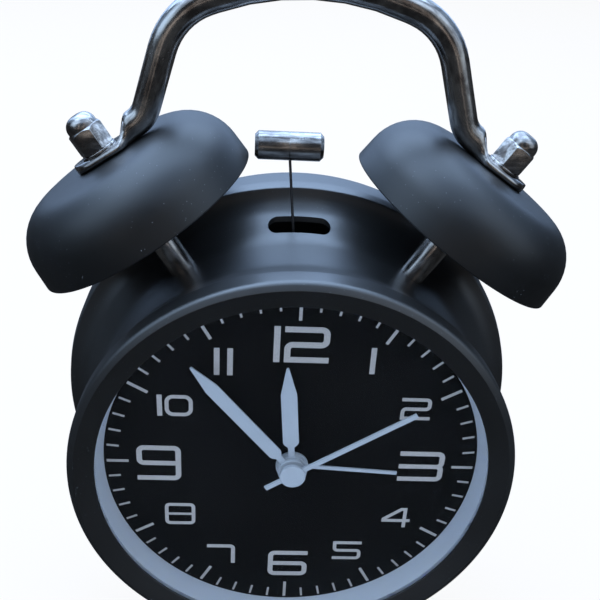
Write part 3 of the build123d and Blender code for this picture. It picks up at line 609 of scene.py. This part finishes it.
placed(print_all, dial_front(ink_t / 2))
finished(print_all, "dial_print", "case", "hand_white", pale_print)

# Movement: the grey plastic housing on its carrier behind the dial, the brass pipes that
# the hands are pressed on, and four clear lamps that shine into the light ring.
grey = Finish("grey_plastic")
pores = grey.grain(1800, 2)
grey_plastic = grey.coat(
    Base_Color=grey.tones(pores, (0.3, (0.28, 0.29, 0.31)), (0.8, (0.38, 0.39, 0.41))),
    Roughness=0.5 + pores * 0.15, Normal=grey.bump(pores, 0.00002, 0.4))
wear(grey_plastic, "movement_housing", "dial_carrier")

turned_brass = Finish("turned_brass")
rings = turned_brass.grain(900, 2, (1, 8, 1))
brass = turned_brass.coat(
    Base_Color=turned_brass.tones(rings, (0.3, (0.52, 0.38, 0.16)), (0.8, (0.72, 0.56, 0.28))),
    Metallic=1.0, Roughness=0.25 + rings * 0.15)
wear(brass, "hour_arbor", "minute_arbor", "alarm_arbor")

lamp_cap = Finish("lamp_clear")
swirl = lamp_cap.grain(700, 2)
lamp_clear = lamp_cap.coat(
    Base_Color=lamp_cap.tones(swirl, (0.3, (0.70, 0.76, 0.86)), (0.8, (0.86, 0.90, 0.96))),
    Roughness=0.12 + swirl * 0.1)
wear(lamp_clear, "light_lamps")

# Hands: pale lacquered steel strips pressed onto the nested arbors, each on its round hub.
# The second hand sits on a thicker cap with an eased rim.
lacquer = Finish("pale_lacquer")
orange = lacquer.grain(1500, 2)
tint = lacquer.grain(60, 3)
pale_lacquer = lacquer.coat(
    Base_Color=lacquer.tones(tint, (0.3, (0.50, 0.55, 0.61)), (0.75, (0.60, 0.64, 0.69))),
    Roughness=0.36 + orange * 0.14, Normal=lacquer.bump(orange, 0.00001, 0.3))


hand_t = 0.4


def hand(name, lift, turn, half, hub, hub_t, ease):
    """One hand from its half outline seen tip up, with its hub."""
    outline = [Vector((-x, y)) for x, y in half] + [Vector((x, y)) for x, y in reversed(half)]
    leaf = drawn_line([outline], flat=True, thick=hand_t)
    placed(leaf, dial_front(lift - hand_t / 2))
    applied(leaf, "BEVEL", width=0.09 * MM, segments=2, limit_method="ANGLE", angle_limit=radians(35))
    foot = dial_y - lift + hand_t
    front = foot - hub_t
    knob = spun([(0, front), (hub / 2, front, ease), (hub / 2, foot, 0.05), (0, foot)],
                case_axis, closed=False, steps=72)
    made = joined([leaf, knob])
    pivot = Matrix.Translation((0, 0, axis_up * MM))
    placed(made, pivot @ Matrix.Rotation(radians(turn), 4, "Y") @ pivot.inverted())
    smooth(made, 40)
    return finished(made, name + "_pointer", name, "hand_white", pale_lacquer, name + "_hand")


leaf_end = 0.25
hand("alarm", 0.7, 93.8, [(0.45, 0), (0.45, 25.4)], 7.7, 0.9, 0.12)
hand("hour", 1.8, -4.7, [
    (0.75, 0), (0.75, 6.1), (1.45, 6.7), (1.85, 7.4), (1.85, 20.6), (leaf_end, 27.6)], 7.2, 0.9, 0.12)
hand("minute", 2.9, -40.4, [
    (0.75, 0), (0.75, 5.2), (1.3, 5.8), (1.575, 6.5), (1.575, 29.3), (leaf_end, 36.3)], 6.8, 0.9, 0.12)
hand("second", 4.6, 57.2, [(0.625, -7.4), (0.625, 32.6)], 6.1, 1.1, 0.35)

# Bells: two spun steel shells in the case's enamel, modelled once, with a round shoulder and
# a wall that flares to a plain rim. Each hangs from its post under the end of the handle.
tilt, crown_w, bore_r = 33.1, 78.8, 2.1
bell = spun([
    (bore_r, 0), (6.6, 0, 11.5), (25.7, -0.4, 11.5), (27.03, -15.44, 0.3), (26.05, -15.45, 0.3),
    (24.7, -1.4, 10.5), (6.6, -1.0, 11.5), (bore_r, -1.0)], Matrix(), steps=144)
other_bell = bell.copy()
other_bell.data = bell.data.copy()
bpy.context.scene.collection.objects.link(other_bell)
for made, side, name in ((bell, -1, "left"), (other_bell, 1, "right")):
    placed(made, outward(side * tilt, along=crown_w))
    finished(made, f"bell_shell_{name}", "case", "black_paint", black_enamel, f"bell_{name}")

# Posts, washers and cap nuts: chrome plated steel. The post stands on the drum, its stud
# passes the bell and the handle's end, and the domed nut closes it over a washer.
def plated(name, drawn_out, blur):
    """Chrome plating with a dulled haze, streaks drawn along one way and a few tarnish specks."""
    plating = Finish(name)
    polish = plating.grain(900, 3, (1, 1, 5))
    streak = plating.grain(260, 3, drawn_out)
    dull = plating.grain(70, 5, rough=0.65)
    specks = plating.flecks(700, 0.10) * (plating.grain(90, 2) > 0.52)
    tone = plating.tones(
        dull * 0.5 + streak * 0.5, (0.42, (0.28, 0.26, 0.25)), (0.58, (0.72, 0.69, 0.66)))
    return plating.coat(
        Base_Color=plating.mixed(specks * 0.5, tone, (0.24, 0.22, 0.20, 1)),
        Metallic=1.0, Roughness=blur + dull * 0.14 + streak * 0.10 + specks * 0.25,
        Normal=plating.bump(polish + streak * 0.8, 0.000008, 0.6))


chrome = plated("chrome_plating", drawn_out=(1, 6, 1), blur=0.08)
handled_chrome = plated("handled_chrome", drawn_out=(1, 5, 5), blur=0.13)
stud_r, hex_corner, dome_up, nut_up = 2.0, 7.0 / sqrt(3), 5.2, 8.1


def cap_nut(place):
    """A tall hexagon with its corners turned off, under a dome."""
    bore = stud_r + 0.02
    dome = spun([
        (0, 4.7), (bore, 4.7), (bore, 0), (hex_corner - 0.4, 0), (hex_corner, 0.4), (hex_corner, 4.7),
        (3.4, dome_up), (3.4, nut_up, 2.5), (0, nut_up)], Matrix(), closed=False, steps=96)
    lone()
    bpy.ops.mesh.primitive_cylinder_add(vertices=6, radius=hex_corner * MM, depth=0.024)
    flats = bpy.context.object
    placed(flats, Matrix.Rotation(radians(30), 4, "Z"))
    cut(dome, flats, "INTERSECT")
    applied(dome, "BEVEL", width=0.12 * MM, segments=2, limit_method="ANGLE", angle_limit=radians(32))
    return smooth(placed(dome, place), 30)


washers, nuts = [], []
post_r, post_foot, post_top, stud_top = 3.2, 48.3, 77.8, 86.0
washer_r, tab_top, nut_foot = 4.0, 80.8, 81.3
for side, name in ((-1, "left"), (1, "right")):
    post = spun([(0, post_foot), (post_r, post_foot), (post_r, post_top, 0.2), (stud_r, post_top),
                 (stud_r, stud_top, 0.3), (0, stud_top)], outward(side * tilt), closed=False, steps=64)
    finished(post, f"bell_stud_{name}", "case", "chrome", chrome, f"bell_post_{name}")
    washers.append(spun([(bore_r, tab_top, 0.1), (washer_r, tab_top, 0.15), (washer_r, nut_foot, 0.15),
                         (bore_r, nut_foot, 0.1)], outward(side * tilt), steps=64))
    nuts.append(cap_nut(outward(side * tilt, along=nut_foot)))
finished(joined(washers), "handle_washers", "case", "chrome", chrome, "tab_washers")
finished(joined(nuts), "domed_nuts", "case", "chrome", handled_chrome, "cap_nuts")

drawn = Finish("plain_steel")
lines = drawn.grain(500, 3, (1, 1, 9))
steel = drawn.coat(
    Base_Color=drawn.tones(lines, (0.3, (0.20, 0.20, 0.21)), (0.75, (0.34, 0.34, 0.35))),
    Metallic=1.0, Roughness=0.3 + lines * 0.2, Normal=drawn.bump(lines, 0.00001, 0.5))
wear(steel, "inner_nuts")

# Handle: a chrome plated tube bent to an arch. Its ends are pressed flat, rounded off round
# the studs and clamped between the bells' crowns and the washers.
tube_r, tab_t, tab_half, tab_reach = 2.95, 2.0, 4.7, 12.3
lean_angle, slope_angle, elbow_r, knee_r, arch_r = 17.1, 20.0, 6.5, 15.0, 57.0
lean, slope = tan(radians(lean_angle)), tan(radians(slope_angle))
bell_out = Vector((sin(radians(tilt)), cos(radians(tilt))))
bell_in = Vector((-bell_out.y, bell_out.x))
stud_foot = Vector((0, axis_up)) + bell_out * crown_w
elbow = stud_foot + bell_out * tube_r + bell_in * tab_reach
elbow_turn = 90 - lean_angle - tilt
round_reach = tab_reach - elbow_r * tan(radians(elbow_turn / 2)) - 0.3
round_end = stud_foot + bell_out * tube_r + bell_in * round_reach
apex_z = 163.18 + arch_r * (1 / cos(radians(slope_angle)) - 1)
knee_x = (elbow.x - lean * (apex_z - elbow.y)) / (1 - lean * slope)
knee = Vector((knee_x, apex_z - slope * knee_x))
arch = rounded([
    tuple(round_end), (*elbow, elbow_r), (*knee, knee_r), (0, apex_z, arch_r), (-knee.x, knee.y)])
arch = [point for point in arch[:-1] if point.x > -0.0001]
to_tab = outward(tilt, along=crown_w).inverted()
half_t, drawn_half = tab_t / 2, 1.5
flat_end, tab_back = -4.9, 1.9


def eased_share(part):
    part = min(1, part)
    return part * part * (3 - 2 * part)


# Each station is its place along the tab, the ring's middle, half width and half height, and
# the height that it is pressed to.
stations = [
    (tab_back + tab_half * cos(radians(turn)), half_t, tab_half * sin(radians(turn)), drawn_half, tab_t)
    for turn in (8, 20, 32, 44, 56, 68, 80, 90)]
stations.append((-2.0, half_t, tab_half, drawn_half, tab_t))
for step in range(9):
    part = step / 8
    full, narrow = eased_share(part), eased_share(part / 0.6)
    stations.append((flat_end - part * (round_reach + flat_end), half_t + full * (tube_r - half_t),
                     tab_half + narrow * (tube_r - tab_half), drawn_half + full * (tube_r - drawn_half),
                     tab_t + full * (2 * tube_r - tab_t)))
lone()
first = stations[0]
bpy.ops.mesh.primitive_circle_add(
    vertices=48, radius=MM, fill_type="NGON", rotation=(0, radians(90), 0))
tube = bpy.context.object
tube.name = "handle_tube"
placed(tube, Matrix.Translation((first[0] * MM, 0, first[1] * MM))
       @ Matrix.Rotation(radians(90), 4, "Y") @ Matrix.Diagonal((first[3], first[2], 1, 1)))
bpy.ops.object.mode_set(mode="EDIT")
bpy.ops.mesh.select_all(action="SELECT")


def ring_on(move, stretch=None, turn=0.0, middle=(0, 0, 0)):
    """Extrudes the tube's open ring, then stretches or turns it about its middle."""
    bpy.ops.mesh.extrude_region_move(TRANSFORM_OT_translate={"value": move})
    if stretch:
        bpy.ops.transform.resize(value=stretch, center_override=middle)
    if turn:
        bpy.ops.transform.rotate(
            value=turn, orient_axis="Y", orient_type="GLOBAL", center_override=middle)


for was, now in zip(stations, stations[1:]):
    ring_on(((now[0] - was[0]) * MM, 0, (now[1] - was[1]) * MM), (1, now[2] / was[2], now[3] / was[3]),
            middle=(now[0] * MM, 0, now[1] * MM))
path = [to_tab @ Vector((point.x * MM, 0, point.y * MM)) for point in arch]
ways = [(b - a).normalized() for a, b in zip(path, path[1:])]
headings = [atan2(way.z, -way.x) for way in ways]
level_way = to_tab.to_3x3() @ Vector((-1, 0, 0))
apex_heading = atan2(level_way.z, -level_way.x)
turns = [(a + b) / 2 for a, b in zip(headings, headings[1:])] + [apex_heading]
facing = 0.0
for was, now, turn in zip(path, path[1:], turns):
    ring_on(tuple(now - was), turn=-(turn - facing), middle=tuple(now))
    facing = turn
bpy.ops.mesh.delete(type="ONLY_FACE")
bpy.ops.object.mode_set(mode="OBJECT")
for x, *_, press in stations:
    for limit, above in ((press * MM, True), (0.0, False)):
        bpy.ops.object.mode_set(mode="EDIT")
        bpy.ops.mesh.select_all(action="DESELECT")
        bpy.ops.object.mode_set(mode="OBJECT")
        for vertex in tube.data.vertices:
            near = abs(vertex.co.x - x * MM) < 0.00002 and vertex.co.z < 0.02
            vertex.select = near and (vertex.co.z > limit if above else vertex.co.z < limit)
        if any(vertex.select for vertex in tube.data.vertices):
            bpy.ops.object.mode_set(mode="EDIT")
            bpy.ops.transform.resize(value=(1, 1, 0), center_override=(x * MM, 0, limit))
            bpy.ops.object.mode_set(mode="OBJECT")
placed(tube, outward(tilt, along=crown_w))
applied(tube, "MIRROR", use_axis=(True, False, False), merge_threshold=0.00002)
edit(lambda: bpy.ops.mesh.normals_make_consistent(inside=False))
for side in (-1, 1):
    lone()
    bpy.ops.mesh.primitive_cylinder_add(vertices=48, radius=bore_r * MM, depth=0.008)
    cut(tube, placed(bpy.context.object, outward(side * tilt, along=crown_w + 1)))
smooth(tube, 45)
finished(tube, "chrome_handle", "case", "chrome", chrome, "handle")

# Striker: a magnet coil on a steel bracket pulls the lever, and the hammer swings on its
# wire through the slot in the drum. The hammer is a plated slug with a groove round it.
wear(steel, "striker_bracket", "coil_core", "second_arbor", "striker_lever")
winding = Finish("copper_winding")
wires = winding.node("ShaderNodeTexWave", {"wave_type": "BANDS", "bands_direction": "X"},
                     {"Vector": winding.place, "Scale": 700.0, "Distortion": 0.4})
copper = winding.coat(
    Base_Color=winding.tones(wires, (0.2, (0.30, 0.13, 0.06)), (0.8, (0.62, 0.30, 0.15))),
    Metallic=0.8, Roughness=0.3 + wires * 0.15, Normal=winding.bump(wires, 0.00008, 0.7))
wear(copper, "striker_coil")

stem_lean = -5.4
pin_y, pin_z = 4.5, 95.5
swing = Matrix.Translation((0, pin_y * MM, pin_z * MM)) @ Matrix.Rotation(radians(stem_lean), 4, "Y")
rim_r, rim_down = 27.05, 15.45
bell_gap = (crown_w - rim_down) * sin(radians(tilt)) - rim_r * cos(radians(tilt))
bell_high = axis_up + (crown_w - rim_down) * cos(radians(tilt)) + rim_r * sin(radians(tilt))
hammer_rise, hammer_play, hammer_r, wire_r = 1.3, 4.33, 3.1, 0.31
stem_l = (bell_high + hammer_rise - pin_z) / cos(radians(stem_lean))
hammer_half = bell_gap - hammer_play
wire = spun([(0, 1.65), (wire_r, 1.65), (wire_r, stem_l - 2.5), (0, stem_l - 2.5)], swing,
            closed=False, steps=24)
finished(wire, "hammer_wire", "striker", "steel", steel, "hammer_stem")
head_place = swing @ Matrix.Translation((0, 0, stem_l * MM)) @ Matrix.Rotation(
    radians(90 - stem_lean), 4, "Y")
end_r, slant, groove_w, groove_r = 2.3, 0.8, 0.15, 3.04
head = spun([
    (0, -hammer_half), (end_r, -hammer_half, 0.1), (hammer_r, slant - hammer_half, 0.08),
    (hammer_r, -groove_w), (groove_r, 0), (hammer_r, groove_w),
    (hammer_r, hammer_half - slant, 0.08), (end_r, hammer_half, 0.1), (0, hammer_half)],
    head_place, closed=False, steps=72, angle=22)
finished(head, "hammer_slug", "striker", "chrome", handled_chrome, "hammer_head")

# Legs: turned and plated, screwed to the drum from inside, each with a rubber tip cut level.
# A rubber heel under the rear flange is the third foot.
rubber_skin = Finish("soft_rubber")
rub = rubber_skin.grain(1300, 3)
scuff = rubber_skin.grain(90, 4)
rubber = rubber_skin.coat(
    Base_Color=rubber_skin.tones(scuff, (0.3, (0.016, 0.016, 0.017)), (0.8, (0.045, 0.044, 0.043))),
    Roughness=0.7 + rub * 0.2, Normal=rubber_skin.bump(rub, 0.00004, 0.5))
leg_turn = 28.0
leg_end = axis_up / cos(radians(leg_turn))
leg_plain = leg_end - 5.0
for side, name in ((-1, "left"), (1, "right")):
    place = outward(180 - side * leg_turn, y=-9.0)
    leg = spun([
        (0, 48.2), (4.3, 48.2), (4.3, 49.9, 0.35), (2.5, 50.9, 0.3), (3.3, leg_plain, 0.1),
        (2.5, leg_plain), (2.5, leg_plain + 2.1), (0, leg_plain + 2.1)], place, closed=False, steps=64)
    finished(leg, f"turned_leg_{name}", "case", "chrome", chrome, f"leg_{name}")
    tip = spun([(0, leg_plain), (4.5, leg_plain, 0.8), (4.5, leg_end + 9), (0, leg_end + 9)], place,
               closed=False, steps=64)
    edit(lambda: bpy.ops.mesh.bisect(
        plane_co=(0, 0, 0.01 * MM), plane_no=(0, 0, 1), clear_inner=True, use_fill=True))
    applied(tip, "BEVEL", width=0.3 * MM, segments=3, limit_method="ANGLE", angle_limit=radians(40))
    smooth(tip, 40)
    finished(tip, f"rubber_tip_{name}", "case", "rubber", rubber, f"leg_tip_{name}")
lone()
bpy.ops.mesh.primitive_cube_add(size=1)
heel_wide, heel_deep, heel_tall, heel_y = 20, 7, 3.2, 17
heel = placed(bpy.context.object, Matrix.Translation((0, heel_y * MM, heel_tall / 2 * MM))
              @ Matrix.Diagonal((heel_wide * MM, heel_deep * MM, heel_tall * MM, 1)))
applied(heel, "BEVEL", width=0.6 * MM, segments=3, limit_method="ANGLE", angle_limit=radians(40))
smooth(heel, 40)
finished(heel, "rubber_heel", "case", "rubber", rubber, "rear_heel")

# Back cover: moulded black plastic, spark grained, held by four screws. It carries the
# battery bay and the openings for the controls.
moulded = Finish("black_plastic")
spark = moulded.grain(2400, 3)
rubbed = moulded.grain(60, 4)
black_plastic = moulded.coat(
    Base_Color=moulded.tones(rubbed, (0.3, (0.018, 0.018, 0.020)), (0.8, (0.032, 0.032, 0.035))),
    Roughness=0.45 + spark * 0.2, Normal=moulded.bump(spark, 0.00004, 0.45))


def eased(node, edge, finish, slot, name, angle=30):
    """A copy of a CAD solid with its facets joined and its edges eased, evenly shaded."""
    lone()
    made = bpy.data.objects.new(name, frame["nodes"][node].data.copy())
    bpy.context.scene.collection.objects.link(made)
    made.select_set(True)
    bpy.context.view_layer.objects.active = made
    edit(lambda: bpy.ops.mesh.remove_doubles(threshold=2e-6),
         lambda: bpy.ops.mesh.dissolve_limited(angle_limit=radians(0.5)))
    applied(made, "BEVEL", width=edge * MM, segments=2, limit_method="ANGLE",
            angle_limit=radians(40))
    smooth(made, angle)
    applied(made, "WEIGHTED_NORMAL", keep_sharp=True)
    return finished(made, name, frame["nodes"][node]["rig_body"], slot, finish, node)


eased("back_cover", 0.15, black_plastic, "black_plastic", "moulded_cover")
eased("cover_screws", 0.08, steel, "steel", "cross_screws")
wear(steel, "battery_contacts")

# Battery bay: two AA cells in printed sleeves behind a hinged door, with their contacts.
sleeve = Finish("cell_sleeve")
band = sleeve.grain(40, 2)
cell_sleeve = sleeve.coat(
    Base_Color=sleeve.tones(band, (0.3, (0.06, 0.20, 0.15)), (0.8, (0.12, 0.32, 0.25))),
    Roughness=0.2 + band * 0.1, Coat_Weight=0.3)
wear(cell_sleeve, "cell_lower", "cell_upper")
eased("battery_door", 0.12, black_plastic, "black_plastic", "hinged_door")

# Controls: ribbed setting knobs on steel shafts, the alarm switch and the light button, over
# two small circuit boards.
circuit = Finish("green_board")
weave = circuit.grain(1200, 2)
green_board = circuit.coat(
    Base_Color=circuit.tones(weave, (0.3, (0.02, 0.10, 0.05)), (0.8, (0.04, 0.17, 0.08))),
    Roughness=0.35 + weave * 0.15)
wear(green_board, "control_boards")
wear(steel, "time_knob_shaft", "alarm_knob_shaft")
for node in ("time_knob", "alarm_knob", "alarm_switch", "light_button"):
    eased(node, 0.12, black_plastic, "black_plastic", "moulded_" + node)
